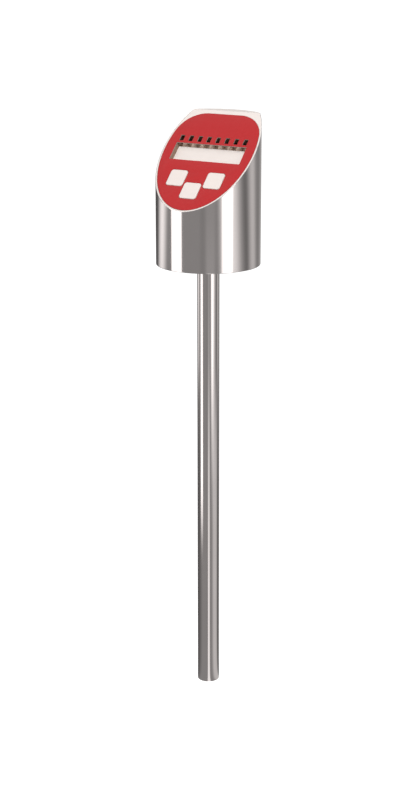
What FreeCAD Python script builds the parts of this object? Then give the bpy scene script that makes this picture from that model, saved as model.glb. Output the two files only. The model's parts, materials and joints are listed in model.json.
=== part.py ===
import FreeCAD, Part
import math
import os

# Temperature sensor: a round steel head with a sloping front panel, standing on a straight probe.
# Millimetres. The origin is on the probe's axis at the underside of the head, +Z up, the panel faces -Y.

Vector = FreeCAD.Vector

# Head
HEAD_D = 46.3              # outside of the housing tube
FRONT_H = 26.5             # underside to the lowest point of the sloping panel
PANEL_RISE = 39.0          # lowest point of the panel to the flat top
SLOPE = 45.0               # panel's angle from level, degrees
TUBE_WALL = 1.5
TUBE_LIP = 0.1             # thin edge of the tube left standing round the bezel
REBATE_DEPTH = 1.6         # how far the bezel's flange is let into the tube
TUBE_EDGE = 0.25           # rounding of the tube's lower edge

# Fits
FIT = 0.05                 # between pieces pressed, welded or glued together
SLIDE_FIT = 0.1            # between pieces that are slid together
OVERRUN = 1.0              # how far a cut runs past the face that it opens
TOLERANCE = 1e-6           # for finding an edge by its place

# Bezel, with depths measured inwards from the panel's face
RIM = 0.6                  # white rim left round the plate
BEZEL_WALL = 1.2           # depth of the wall behind the plate
SKIRT_DEPTH = 5.0          # how far the bezel plugs into the tube
SKIRT_WALL = 1.6
SEAL_DEPTH = 2.3           # where the seal's groove starts
SEAL_W = 1.2
SEAL_T = 0.9

# Plate
PLATE_T = 0.5
PLATE_GAP = 0.15           # round the plate, in its recess
PLATE_TOP_MARGIN = 1.85    # plate's straight top edge to the panel's top edge
PLATE_CORNER = 13.5        # rounding of the plate's two upper corners

# Window and indicators
WINDOW_SIDE = 5.45         # either side of the window to the outside of the head
WINDOW_H = 9.2
WINDOW_DROP = 1.0          # window's middle below the middle of the panel's ellipse
SLOT_COUNT = 8
SLOT_W = 2.1
SLOT_H = 3.1
SLOT_INSET = 0.65          # outer slots in from the window's sides
SLOT_GAP = 1.05            # web between the window and the slots
APERTURE_TOP = 1.3         # gasket's opening above the slots
APERTURE_CORNER = 0.4
GASKET_W = 1.1
GASKET_LINING = 0.6        # gasket's wall where it lines the bezel's opening
SHADE_DEPTH = 6.0          # panel's face to the end of the gasket round the indicators
DISPLAY_DEPTH = 2.8        # panel's face to the display's face
DISPLAY_TUCK = 0.95        # display's edge hidden behind the window's frame
DISPLAY_DROP = 0.2         # display's upper edge below the window's
LED_R = 1.45
LED_FLANGE_R = 1.65
LED_FLANGE_T = 0.6
LED_BODY_H = 3.8           # board to where the dome starts
LED_DROP = 0.95            # indicators' middles below the slots'

# Keys
KEY_W = 8.36
KEY_H = 8.3
KEY_CORNER = 1.2
KEY_BRIDGE = 0.96          # sideways between neighbouring keys
KEY_BELOW_WINDOW = 5.64    # window's lower edge to the upper keys
KEY_STEP = 6.14            # middle key below the other two
KEY_PROUD = 0.3            # face above the panel
KEY_EDGE = 0.25            # rounding round the face
KEY_GAP = 0.2              # round the key in its opening
KEY_WALL = 1.2
KEY_TAB_W = 4.0            # retaining tabs above and below the cap
KEY_TAB_REACH = 0.8
KEY_TAB_T = 0.7
KEY_STEM_R = 1.9
KEY_TRAVEL = 0.3

# Display board and switches
BOARD_DEPTH = 8.5          # panel's face to the display board
BOARD_T = 1.6
BOARD_CLEARANCE = 1.5      # boards and their carrier to the tube
BOARD_MARGIN = 1.5         # board beyond the pieces on it
SWITCH_W = 6.0
SWITCH_H = 3.4
PLUNGER_R = 1.65
PLUNGER_PROUD = 0.9
PLUNGER_SEAT = 0.8         # length of the plunger inside the switch
BOSS_R = 2.3
BOSS_GAP = 0.6             # boss to the gasket or the key below it
BOSS_SIDE = 3.5            # upper screws' heads to the tube
BEZEL_SCREW_R = 0.95
BEZEL_SCREW_GRIP = 5.0     # length in the boss
BEZEL_SCREW_HEAD_R = 1.8
BEZEL_SCREW_HEAD_H = 1.3

# Base and probe
BASE_T = 4.0
HUB_R = 8.5
HUB_H = 10.0
PROBE_D = 10.0
PROBE_L = 200.0
PROBE_WALL = 1.25
SPIGOT_STEP = 0.5          # how far the sheath's top end is turned down
TIP_T = 2.0
TIP_EDGE = 0.4
BUSH_L = 22.0
BUSH_FLOOR = 3.0           # under the sensing element
ELEMENT_D = 3.0
ELEMENT_L = 17.0
LEAD_D = 0.6
LEAD_PITCH = 1.4           # between neighbouring leads
LEAD_RISE = 2.0            # straight above the hub before the bend
LEAD_BEND = 3.5            # inner leads' bend
LEAD_LEVEL = 1.3           # level run into the terminal

# Main board
MAIN_INSET = 9.4           # back of the main board to the tube's bore
MAIN_TOP_GAP = 3.0         # under the display board's screws
CARRIER_H = 5.0
CARRIER_WALL = 2.5         # either side of the board
CARRIER_FLOOR = 2.0        # under the board's lower edge
FOOT_W = 5.0
FOOT_L = 7.0
FOOT_T = 2.5
CARRIER_SCREW_R = 1.2
CARRIER_SCREW_GRIP = 2.5   # length in the base
CARRIER_SCREW_HEAD_R = 2.2
CARRIER_SCREW_HEAD_H = 1.6
PART_EDGE = 2.0            # pieces on the main board to its edges
TERMINAL_W = 8.0
TERMINAL_H = 5.0
CHIP_W = 7.0
CHIP_T = 1.2
CAPACITOR_R = 3.15
CAPACITOR_L = 7.7
DRIVER_W = 5.0
DRIVER_H = 4.0
DRIVER_T = 1.6
RIBBON_W = 10.0
RIBBON_T = 0.3
RIBBON_RISE = 5.0          # above the connector's axis
RIBBON_BEND = 4.0
RIBBON_LEVEL = 3.0         # level run into the main board's socket
SOCKET_W = 12.0
SOCKET_H = 3.6
SOCKET_T = 2.0

# Connector at the back
PORT_Z = 24.0
COLLAR_R = 8.0
COLLAR_IN = 3.0            # collar inside the tube's bore
COLLAR_OUT = 1.0           # collar proud of the tube
COLLAR_EDGE = 0.4
THREAD_D = 12.0
THREAD_L = 9.5
THREAD_EDGE = 0.6
SHELL_WALL = 1.15
SHELL_STEP = 0.35          # shoulder that the insert stops against
MOUTH_DEPTH = 8.5
INSERT_SEAL_R = 0.5        # section of the insert's seal
INSERT_SEAL_IN = 2.0       # seal's middle from the collar's inner end
PIN_R = 0.5
PIN_CIRCLE_R = 2.5
PIN_SHORT = 1.5            # pin's tip inside the connector's mouth
PIN_TAIL = 0.8             # soldered end in front of the main board
GUIDE_W = 1.2              # rib that guides the mating plug
GUIDE_H = 0.8

# Worked out from the sizes above
BOTH = (-1, 1)
HEAD_R = HEAD_D / 2
HEAD_H = FRONT_H + PANEL_RISE
BORE_R = HEAD_R - TUBE_WALL
PLUG_R = BORE_R - SLIDE_FIT
FLANGE_R = HEAD_R - TUBE_LIP - FIT
SLOPE_RAD = math.radians(SLOPE)
SIN = math.sin(SLOPE_RAD)
COS = math.cos(SLOPE_RAD)
PANEL_MID = HEAD_R / COS
PANEL_TOP = PANEL_RISE / SIN
PLATE_INSET = HEAD_R - FLANGE_R + RIM

WINDOW_W = HEAD_D - 2 * WINDOW_SIDE
WINDOW_MID = PANEL_MID - WINDOW_DROP
WINDOW_BOTTOM = WINDOW_MID - WINDOW_H / 2
WINDOW_TOP = WINDOW_MID + WINDOW_H / 2
SLOT_V = WINDOW_TOP + SLOT_GAP + SLOT_H / 2
SLOT_PITCH = (WINDOW_W - 2 * SLOT_INSET - SLOT_W) / (SLOT_COUNT - 1)
SLOT_XS = [(i - (SLOT_COUNT - 1) / 2) * SLOT_PITCH for i in range(SLOT_COUNT)]
LED_V = SLOT_V - LED_DROP
APERTURE_H = SLOT_V + SLOT_H / 2 + APERTURE_TOP - WINDOW_BOTTOM
APERTURE_V = WINDOW_BOTTOM + APERTURE_H / 2

KEY_SPREAD = KEY_W + KEY_BRIDGE
KEY_UPPER_V = WINDOW_BOTTOM - KEY_BELOW_WINDOW - KEY_H / 2
KEY_LOWER_V = KEY_UPPER_V - KEY_STEP
KEYS = {
    "left": (-KEY_SPREAD, KEY_UPPER_V),
    "middle": (0.0, KEY_LOWER_V),
    "right": (KEY_SPREAD, KEY_UPPER_V),
}
KEY_TAB_DEPTH = BEZEL_WALL + SLIDE_FIT
KEY_SKIRT = KEY_TAB_DEPTH + KEY_TAB_T

BOARD_BACK = BOARD_DEPTH + BOARD_T
SCREW_BACK = BOARD_BACK + BEZEL_SCREW_HEAD_H
SWITCH_TOP = BOARD_DEPTH - SWITCH_H
PLUNGER_TOP = SWITCH_TOP - PLUNGER_PROUD
BOSS_LOWER_V = KEY_LOWER_V + KEY_H / 2 + KEY_TAB_REACH + BOSS_GAP + BOSS_R
BOSS_UPPER_V = WINDOW_BOTTOM + APERTURE_H + GASKET_W + BOSS_GAP + BOSS_R
BOSS_BACK_Y = BOSS_UPPER_V * COS + SCREW_BACK * SIN - HEAD_R
BOSS_UPPER_X = math.sqrt(BORE_R**2 - BOSS_BACK_Y**2) - BOSS_SIDE - BEZEL_SCREW_HEAD_R
BOSSES = [(0.0, BOSS_LOWER_V)] + [(side * BOSS_UPPER_X, BOSS_UPPER_V) for side in BOTH]

PROBE_R = PROBE_D / 2
PROBE_BORE_R = PROBE_R - PROBE_WALL
SPIGOT_R = PROBE_R - SPIGOT_STEP
BUSH_BOTTOM = TIP_T - PROBE_L
BUSH_TOP = BUSH_BOTTOM + BUSH_L
ELEMENT_BOTTOM = BUSH_BOTTOM + BUSH_FLOOR
ELEMENT_TOP = ELEMENT_BOTTOM + ELEMENT_L
LEADS = [(x * LEAD_PITCH / 2, y * LEAD_PITCH / 2) for x in BOTH for y in BOTH]
LEAD_TURN_Y = LEAD_PITCH / 2 + LEAD_BEND
LEAD_TURN_Z = HUB_H + LEAD_RISE

MAIN_BACK = BORE_R - MAIN_INSET
MAIN_Y = MAIN_BACK - BOARD_T
MAIN_HALF_W = math.sqrt(BORE_R**2 - MAIN_BACK**2) - BOARD_CLEARANCE
MAIN_BOTTOM = BASE_T + CARRIER_FLOOR
MAIN_TOP = FRONT_H + ((MAIN_Y + HEAD_R) * SIN - SCREW_BACK) / COS - MAIN_TOP_GAP
CARRIER_FRONT = MAIN_Y - SLIDE_FIT - CARRIER_WALL
CARRIER_BACK = MAIN_BACK + SLIDE_FIT + CARRIER_WALL
CARRIER_HALF_W = math.sqrt(BORE_R**2 - CARRIER_BACK**2) - BOARD_CLEARANCE
FOOT_X = CARRIER_HALF_W - FOOT_W / 2
FOOT_Y = CARRIER_FRONT - FOOT_L / 2
FEET = [(side * FOOT_X, FOOT_Y) for side in BOTH]
TERMINAL_Y = LEAD_TURN_Y + LEAD_LEVEL
TERMINAL_Z = LEAD_TURN_Z + LEAD_BEND + LEAD_PITCH / 2
CHIP_X = MAIN_HALF_W - PART_EDGE - CHIP_W / 2
CAPACITOR_X = MAIN_HALF_W - PART_EDGE - CAPACITOR_R
DRIVER_X = MAIN_HALF_W - PART_EDGE - DRIVER_W / 2
DRIVER_Z = MAIN_TOP - PART_EDGE - DRIVER_H / 2
RIBBON_X = MAIN_HALF_W - PART_EDGE - SOCKET_W / 2

COLLAR_START = BORE_R - COLLAR_IN
COLLAR_END = HEAD_R + COLLAR_OUT
THREAD_R = THREAD_D / 2
MOUTH_Y = COLLAR_END + THREAD_L
MOUTH_R = THREAD_R - SHELL_WALL
INSERT_FACE = MOUTH_Y - MOUTH_DEPTH
INSERT_R = MOUTH_R + SHELL_STEP
INSERT_SEAL_Y = COLLAR_START + INSERT_SEAL_IN
PIN_TIP = MOUTH_Y - PIN_SHORT
PIN_STEP = PIN_CIRCLE_R / math.sqrt(2)
PINS = [(x * PIN_STEP, y * PIN_STEP) for x in BOTH for y in BOTH]

# The panel's own frame: X across, Y up the slope from the lowest point, Z out of the panel.
PANEL = FreeCAD.Placement(Vector(0, -HEAD_R, FRONT_H), FreeCAD.Rotation(Vector(1, 0, 0), SLOPE))
# The connector's frame: Z points backwards, away from the probe's axis.
REAR = FreeCAD.Placement(Vector(0, 0, PORT_Z), FreeCAD.Rotation(Vector(1, 0, 0), -90))


def on_panel(shape):
    return shape.transformed(PANEL.toMatrix())


def on_rear(shape):
    return shape.transformed(REAR.toMatrix())


def upright_edges(shape):
    return [e for e in shape.Edges if abs(e.tangentAt(e.FirstParameter).z) > 1 - TOLERANCE]


def edges_at(shape, z):
    boxes = [(e, e.BoundBox) for e in shape.Edges]
    return [e for e, box in boxes if max(abs(box.ZMin - z), abs(box.ZMax - z)) < TOLERANCE]


def rod(radius, bottom, top, x=0.0, y=0.0):
    """Upright cylinder between two heights."""
    return Part.makeCylinder(radius, top - bottom, Vector(x, y, bottom))


def block(xs, ys, zs):
    """Box between two places along each axis."""
    return Part.makeBox(xs[1] - xs[0], ys[1] - ys[0], zs[1] - zs[0], Vector(xs[0], ys[0], zs[0]))


def about(middle, size):
    return middle - size / 2, middle + size / 2


def pad(width, height, x, v, outer, inner, corner=0.0):
    """Block on the panel between two depths, with its upright corners rounded."""
    shape = block(about(x, width), about(v, height), (-inner, -outer))
    if corner > 0:
        shape = shape.makeFillet(corner, upright_edges(shape))
    return shape


def peg(radius, x, v, outer, inner):
    """Round peg on the panel between two depths."""
    return rod(radius, -inner, -outer, x, v)


def turned(profile):
    """Solid of revolution about Z from a closed outline of (radius, height) points."""
    points = [Vector(r, 0, z) for r, z in profile]
    outline = Part.Face(Part.makePolygon(points + points[:1]))
    return outline.revolve(Vector(0, 0, 0), Vector(0, 0, 1), 360)


def bent_path(start, corner, end, radius):
    """Two straight runs joined by a tangent arc."""
    back = (start - corner).normalize()
    ahead = (end - corner).normalize()
    half_angle = back.getAngle(ahead) / 2
    reach = radius / math.tan(half_angle)
    arc_start = corner + back * reach
    arc_end = corner + ahead * reach
    arc_middle = corner + (back + ahead).normalize() * (radius / math.sin(half_angle) - radius)
    runs = [Part.LineSegment(start, arc_start), Part.Arc(arc_start, arc_middle, arc_end),
            Part.LineSegment(arc_end, end)]
    return Part.Wire([run.toShape() for run in runs])


def head_form(radius, inset):
    """Upright cylinder cut off by the sloping panel and the flat top, both moved inwards by inset."""
    top = HEAD_H - inset
    reach = HEAD_R + OVERRUN
    slope_start = FRONT_H - (OVERRUN * SIN + inset) / COS
    slope_end = (top - slope_start) * COS / SIN - reach
    side = [(-reach, 0), (reach, 0), (reach, top), (slope_end, top), (-reach, slope_start)]
    points = [Vector(-reach, y, z) for y, z in side]
    prism = Part.Face(Part.makePolygon(points + points[:1])).extrude(Vector(2 * reach, 0, 0))
    return rod(radius, 0, HEAD_H).common(prism)


def head_layer(radius, near, far):
    """What lies between two insets from the panel and the flat top, out to a radius."""
    return head_form(radius, near).cut(head_form(radius + OVERRUN, far))


def plate_form(gap, outer, inner):
    """The plate's outline, an ellipse with a straight top and round corners, drawn in by gap."""
    across = HEAD_R - PLATE_INSET - gap
    along = PANEL_MID - PLATE_INSET - gap
    top = PANEL_TOP - PLATE_TOP_MARGIN - gap
    centre = Vector(0, PANEL_MID, -inner)
    ellipse = Part.Ellipse(centre + Vector(0, along, 0), centre + Vector(across, 0, 0), centre)
    solid = Part.Face(Part.Wire(ellipse.toShape())).extrude(Vector(0, 0, inner - outer))
    above = block((-HEAD_D, HEAD_D), (top, top + HEAD_D), (-inner - OVERRUN, OVERRUN - outer))
    solid = solid.cut(above)
    corners = [e for e in upright_edges(solid) if abs(e.CenterOfMass.y - top) < TOLERANCE]
    return solid.makeFillet(PLATE_CORNER - gap, corners)


def key_opening(name, outer, inner):
    x, v = KEYS[name]
    return pad(KEY_W + 2 * KEY_GAP, KEY_H + 2 * KEY_GAP, x, v, outer, inner, KEY_CORNER + KEY_GAP)


def aperture(grow, outer, inner):
    """Opening behind the window and the slots, grown all round."""
    width, height, corner = WINDOW_W + 2 * grow, APERTURE_H + 2 * grow, APERTURE_CORNER + grow
    return pad(width, height, 0, APERTURE_V, outer, inner, corner)


def housing_tube():
    tube = head_form(HEAD_R, 0).cut(rod(BORE_R, -OVERRUN, HEAD_H + OVERRUN))
    tube = tube.cut(head_layer(HEAD_R - TUBE_LIP, 0, REBATE_DEPTH))
    tube = tube.cut(on_rear(rod(COLLAR_R + FIT, 0, HEAD_R + OVERRUN)))
    lower_edge = [e for e in edges_at(tube, 0) if e.BoundBox.XMax > BORE_R + TUBE_WALL / 2]
    return tube.makeFillet(TUBE_EDGE, lower_edge)


def front_bezel():
    body = head_layer(FLANGE_R, 0, REBATE_DEPTH).fuse(head_layer(PLUG_R, 0, SKIRT_DEPTH))
    body = body.cut(head_form(PLUG_R - SKIRT_WALL, BEZEL_WALL))
    body = body.fuse([on_panel(peg(BOSS_R, x, v, PLATE_T, BOARD_DEPTH)) for x, v in BOSSES])
    groove = head_layer(HEAD_R, SEAL_DEPTH - FIT, SEAL_DEPTH + SEAL_W + FIT)
    groove = groove.cut(rod(PLUG_R - SEAL_T, 0, HEAD_H))
    through = BEZEL_WALL + OVERRUN
    cuts = [plate_form(0, -OVERRUN, PLATE_T)]
    cuts.append(aperture(GASKET_LINING + FIT, 0, through))
    cuts += [key_opening(name, 0, through) for name in KEYS]
    cuts += [peg(BEZEL_SCREW_R + FIT, x, v, BOARD_DEPTH - BEZEL_SCREW_GRIP, BOARD_DEPTH + OVERRUN)
             for x, v in BOSSES]
    return body.cut([on_panel(cut) for cut in cuts] + [groove]).removeSplitter()


def bezel_seal():
    layer = head_layer(BORE_R - FIT, SEAL_DEPTH, SEAL_DEPTH + SEAL_W)
    return layer.cut(rod(PLUG_R - SEAL_T + FIT, 0, HEAD_H))


def front_plate():
    through = PLATE_T + OVERRUN
    cuts = [pad(WINDOW_W, WINDOW_H, 0, WINDOW_MID, -OVERRUN, through)]
    cuts += [pad(SLOT_W, SLOT_H, x, SLOT_V, -OVERRUN, through) for x in SLOT_XS]
    cuts += [key_opening(name, -OVERRUN, through) for name in KEYS]
    return on_panel(plate_form(PLATE_GAP, 0, PLATE_T).cut(cuts))


def gasket(lowest, highest, back):
    """Stretch, up the slope, of the frame that lines the bezel's opening and spreads behind it."""
    lining = aperture(GASKET_LINING, PLATE_T, back)
    frame = lining.fuse(aperture(GASKET_W, BEZEL_WALL, back))
    frame = frame.cut(aperture(0, 0, back + OVERRUN)).removeSplitter()
    stretch = block((-HEAD_D, HEAD_D), (lowest, highest), (-back, 0))
    inside_skirt = rod(PLUG_R - SKIRT_WALL - SLIDE_FIT, 0, HEAD_H)
    return on_panel(frame.common(stretch)).common(inside_skirt)


def aperture_gasket():
    return gasket(0, WINDOW_TOP, DISPLAY_DEPTH)


def indicator_gasket():
    return gasket(WINDOW_TOP, PANEL_TOP, SHADE_DEPTH)


def display():
    height = WINDOW_H + DISPLAY_TUCK - DISPLAY_DROP
    middle = WINDOW_TOP - DISPLAY_DROP - height / 2
    return on_panel(pad(WINDOW_W + 2 * DISPLAY_TUCK, height, 0, middle, DISPLAY_DEPTH, BOARD_DEPTH))


def indicator_leds():
    corners = [Vector(0, 0, 0), Vector(LED_FLANGE_R, 0, 0), Vector(LED_FLANGE_R, 0, LED_FLANGE_T),
               Vector(LED_R, 0, LED_FLANGE_T), Vector(LED_R, 0, LED_BODY_H)]
    dome_centre = Vector(0, 0, LED_BODY_H)
    dome_middle = dome_centre + Vector(1, 0, 1).normalize() * LED_R
    dome_top = dome_centre + Vector(0, 0, LED_R)
    edges = [Part.LineSegment(a, b).toShape() for a, b in zip(corners, corners[1:])]
    edges.append(Part.Arc(corners[-1], dome_middle, dome_top).toShape())
    edges.append(Part.LineSegment(dome_top, corners[0]).toShape())
    led = Part.Face(Part.Wire(edges)).revolve(Vector(0, 0, 0), Vector(0, 0, 1), 360)
    return Part.makeCompound([on_panel(led.translated(Vector(x, LED_V, -BOARD_DEPTH))) for x in SLOT_XS])


def key(name):
    x, v = KEYS[name]
    cap = pad(KEY_W, KEY_H, x, v, -KEY_PROUD, KEY_SKIRT, KEY_CORNER)
    cap = cap.makeFillet(KEY_EDGE, edges_at(cap, KEY_PROUD))
    tabs = pad(KEY_TAB_W, KEY_H + 2 * KEY_TAB_REACH, x, v, KEY_TAB_DEPTH, KEY_SKIRT)
    face_inside = KEY_WALL - KEY_PROUD
    hollow = pad(KEY_W - 2 * KEY_WALL, KEY_H - 2 * KEY_WALL, x, v, face_inside, KEY_SKIRT)
    stem = peg(KEY_STEM_R, x, v, face_inside, PLUNGER_TOP)
    return on_panel(cap.fuse(tabs).cut(hollow).fuse(stem).removeSplitter())


def plunger(name):
    x, v = KEYS[name]
    return on_panel(peg(PLUNGER_R, x, v, PLUNGER_TOP, SWITCH_TOP + PLUNGER_SEAT))


def switch(name):
    x, v = KEYS[name]
    well_floor = SWITCH_TOP + PLUNGER_SEAT + KEY_TRAVEL + SLIDE_FIT
    well = peg(PLUNGER_R + SLIDE_FIT, x, v, SWITCH_TOP - OVERRUN, well_floor)
    return on_panel(pad(SWITCH_W, SWITCH_W, x, v, SWITCH_TOP, BOARD_DEPTH).cut(well))


def display_board():
    lowest = KEY_LOWER_V - SWITCH_W / 2 - BOARD_MARGIN
    highest = BOSS_UPPER_V + BOSS_R
    strip = block((-HEAD_D, HEAD_D), (lowest, highest), (-BOARD_BACK, -BOARD_DEPTH))
    board = rod(BORE_R - BOARD_CLEARANCE, 0, HEAD_H).common(on_panel(strip))
    return board.cut([on_panel(peg(BEZEL_SCREW_R + SLIDE_FIT, x, v, 0, SCREW_BACK)) for x, v in BOSSES])


def bezel_screws():
    tip = BOARD_T + BEZEL_SCREW_GRIP - FIT
    screw = turned([(0, -BEZEL_SCREW_HEAD_H), (BEZEL_SCREW_HEAD_R, -BEZEL_SCREW_HEAD_H),
                    (BEZEL_SCREW_HEAD_R, 0), (BEZEL_SCREW_R, 0), (BEZEL_SCREW_R, tip), (0, tip)])
    return Part.makeCompound([on_panel(screw.translated(Vector(x, v, -BOARD_BACK))) for x, v in BOSSES])


def base_plate():
    bore = SPIGOT_R + FIT
    rim = BORE_R - FIT
    disc = turned([(bore, 0), (rim, 0), (rim, BASE_T), (HUB_R, BASE_T), (HUB_R, HUB_H), (bore, HUB_H)])
    return disc.cut([rod(CARRIER_SCREW_R + FIT, BASE_T - CARRIER_SCREW_GRIP, HUB_H, x, y) for x, y in FEET])


def probe_sheath():
    sheath = turned([(0, -PROBE_L), (PROBE_R, -PROBE_L), (PROBE_R, 0), (SPIGOT_R, 0), (SPIGOT_R, HUB_H),
                     (PROBE_BORE_R, HUB_H), (PROBE_BORE_R, BUSH_BOTTOM), (0, BUSH_BOTTOM)])
    return sheath.makeFillet(TIP_EDGE, edges_at(sheath, -PROBE_L))


def tip_bush():
    sleeve = rod(PROBE_BORE_R - FIT, BUSH_BOTTOM, BUSH_TOP)
    return sleeve.cut(rod(ELEMENT_D / 2 + FIT, ELEMENT_BOTTOM, BUSH_TOP + OVERRUN))


def sensing_element():
    return rod(ELEMENT_D / 2, ELEMENT_BOTTOM, ELEMENT_TOP)


def lead_insulator():
    body = rod(PROBE_BORE_R - SLIDE_FIT, BUSH_TOP, HUB_H)
    return body.cut([rod(LEAD_D / 2 + FIT, BUSH_TOP - OVERRUN, HUB_H + OVERRUN, x, y) for x, y in LEADS])


def sensor_leads():
    leads = []
    for x, y in LEADS:
        bend = LEAD_TURN_Y - y
        level = LEAD_TURN_Z + bend
        start = Vector(x, y, ELEMENT_TOP)
        path = bent_path(start, Vector(x, y, level), Vector(x, TERMINAL_Y, level), bend)
        section = Part.Wire(Part.makeCircle(LEAD_D / 2, start))
        leads.append(path.makePipeShell([section], True, False))
    return Part.makeCompound(leads)


def board_carrier():
    sides = (-CARRIER_HALF_W, CARRIER_HALF_W)
    bar = block(sides, (CARRIER_FRONT, CARRIER_BACK), (BASE_T, BASE_T + CARRIER_H))
    feet = [block(about(x, FOOT_W), about(y, FOOT_L), (BASE_T, BASE_T + FOOT_T)) for x, y in FEET]
    slot = block((-HEAD_R, HEAD_R), (MAIN_Y - SLIDE_FIT, MAIN_BACK + SLIDE_FIT), (MAIN_BOTTOM, HEAD_H))
    hub_relief = rod(HUB_R + SLIDE_FIT, 0, HUB_H)
    holes = [rod(CARRIER_SCREW_R + SLIDE_FIT, 0, HUB_H, x, y) for x, y in FEET]
    return bar.fuse(feet).cut([slot, hub_relief] + holes).removeSplitter()


def carrier_screws():
    tip = FIT - FOOT_T - CARRIER_SCREW_GRIP
    screw = turned([(0, tip), (CARRIER_SCREW_R, tip), (CARRIER_SCREW_R, 0), (CARRIER_SCREW_HEAD_R, 0),
                    (CARRIER_SCREW_HEAD_R, CARRIER_SCREW_HEAD_H), (0, CARRIER_SCREW_HEAD_H)])
    return Part.makeCompound([screw.translated(Vector(x, y, BASE_T + FOOT_T)) for x, y in FEET])


def main_board():
    board = block((-MAIN_HALF_W, MAIN_HALF_W), (MAIN_Y, MAIN_BACK), (MAIN_BOTTOM, MAIN_TOP))
    return board.cut([on_rear(rod(PIN_R + SLIDE_FIT, 0, HEAD_R, x, y)) for x, y in PINS])


def processor_chip():
    return block(about(-CHIP_X, CHIP_W), (MAIN_Y - CHIP_T, MAIN_Y), about(TERMINAL_Z, CHIP_W))


def smoothing_capacitor():
    foot = Vector(CAPACITOR_X, MAIN_Y, TERMINAL_Z)
    return Part.makeCylinder(CAPACITOR_R, CAPACITOR_L, foot, Vector(0, -1, 0))


def output_drivers():
    depth = (MAIN_BACK, MAIN_BACK + DRIVER_T)
    return Part.makeCompound([block(about(side * DRIVER_X, DRIVER_W), depth, about(DRIVER_Z, DRIVER_H))
                              for side in BOTH])


def lead_terminal():
    return block(about(0, TERMINAL_W), (TERMINAL_Y, MAIN_Y), about(TERMINAL_Z, TERMINAL_H))


def ribbon_route():
    """Start, corner and end of the ribbon, from the display board's socket to the main board's."""
    end = Vector(RIBBON_X, MAIN_Y - SOCKET_T, PORT_Z + RIBBON_RISE)
    corner = end - Vector(0, RIBBON_LEVEL, 0)
    across, up_slope, _ = PANEL.inverse().multVec(corner)
    start = PANEL.multVec(Vector(across, up_slope, -BOARD_BACK - SOCKET_T))
    return start, corner, end


def ribbon_cable():
    start, corner, end = ribbon_route()
    x, v, out = PANEL.inverse().multVec(start)
    strip = Part.makePlane(RIBBON_W, RIBBON_T, Vector(x - RIBBON_W / 2, v - RIBBON_T / 2, out))
    path = bent_path(start, corner, end, RIBBON_BEND)
    return path.makePipeShell([on_panel(strip).OuterWire], True, False)


def display_ribbon_socket():
    x, v, out = PANEL.inverse().multVec(ribbon_route()[0])
    return on_panel(pad(SOCKET_W, SOCKET_H, x, v, BOARD_BACK, -out))


def main_ribbon_socket():
    end = ribbon_route()[2]
    return block(about(end.x, SOCKET_W), (end.y, MAIN_Y), about(end.z, SOCKET_H))


def connector_shell():
    seat_r = INSERT_R + FIT
    return on_rear(turned([
        (seat_r, COLLAR_START), (COLLAR_R, COLLAR_START), (COLLAR_R, COLLAR_END - COLLAR_EDGE),
        (COLLAR_R - COLLAR_EDGE, COLLAR_END), (THREAD_R, COLLAR_END), (THREAD_R, MOUTH_Y - THREAD_EDGE),
        (THREAD_R - THREAD_EDGE, MOUTH_Y), (MOUTH_R, MOUTH_Y), (MOUTH_R, INSERT_FACE),
        (seat_r, INSERT_FACE)]))


def connector_insert():
    groove_r = INSERT_R - 2 * INSERT_SEAL_R
    groove_start, groove_end = about(INSERT_SEAL_Y, 2 * (INSERT_SEAL_R + SLIDE_FIT))
    body = turned([(0, MAIN_BACK), (INSERT_R, MAIN_BACK), (INSERT_R, groove_start), (groove_r, groove_start),
                   (groove_r, groove_end), (INSERT_R, groove_end), (INSERT_R, INSERT_FACE), (0, INSERT_FACE)])
    guide_r = MOUTH_R - FIT
    guide = block(about(0, GUIDE_W), (-guide_r, GUIDE_H - guide_r), (INSERT_FACE, PIN_TIP))
    guide = guide.common(rod(guide_r, INSERT_FACE, PIN_TIP))
    holes = [rod(PIN_R + FIT, 0, MOUTH_Y, x, y) for x, y in PINS]
    return on_rear(body.fuse(guide).cut(holes).removeSplitter())


def connector_pins():
    pin = rod(PIN_R, MAIN_Y - PIN_TAIL, PIN_TIP)
    pin = pin.makeChamfer(PIN_R / 2, edges_at(pin, PIN_TIP))
    return Part.makeCompound([on_rear(pin.translated(Vector(x, y, 0))) for x, y in PINS])


def insert_seal():
    middle_r = INSERT_R + FIT - INSERT_SEAL_R
    return on_rear(Part.makeTorus(middle_r, INSERT_SEAL_R - FIT / 2, Vector(0, 0, INSERT_SEAL_Y)))


PIECES = [
    housing_tube, front_bezel, bezel_seal, front_plate, aperture_gasket, indicator_gasket, display,
    indicator_leds, display_board, bezel_screws, base_plate, probe_sheath, tip_bush, sensing_element,
    lead_insulator, sensor_leads, board_carrier, carrier_screws, main_board, processor_chip,
    smoothing_capacitor, output_drivers, lead_terminal, ribbon_cable, display_ribbon_socket,
    main_ribbon_socket, connector_shell, connector_insert, connector_pins, insert_seal,
]
parts = {piece.__name__: piece() for piece in PIECES}
for name in KEYS:
    for piece in (key, plunger, switch):
        parts[f"{piece.__name__}_{name}"] = piece(name)

os.makedirs("parts", exist_ok=True)
for name, shape in parts.items():
    shape.exportStep(f"parts/{name}.step")
    print(f"{name}: {len(shape.Solids)} solids, {shape.Volume:.1f} mm3, valid {shape.isValid()}")
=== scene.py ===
# %% [markdown]
# # Temperature sensor with a sloping display head
# This part measures the temperature in a pipe or tank: a polished steel head, its mouth cut off at
# a slant and closed by a red panel with keys, stands on a long straight probe. The solids of every
# piece come from the CAD frame, in metres and in place. What shows is dressed here: finer edges, a
# cut thread, real finishes, and the light of a product photograph.

# %% The frame and its box
import bmesh
import bpy
import json
import math
import numpy as np
from mathutils import Matrix, Vector


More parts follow.
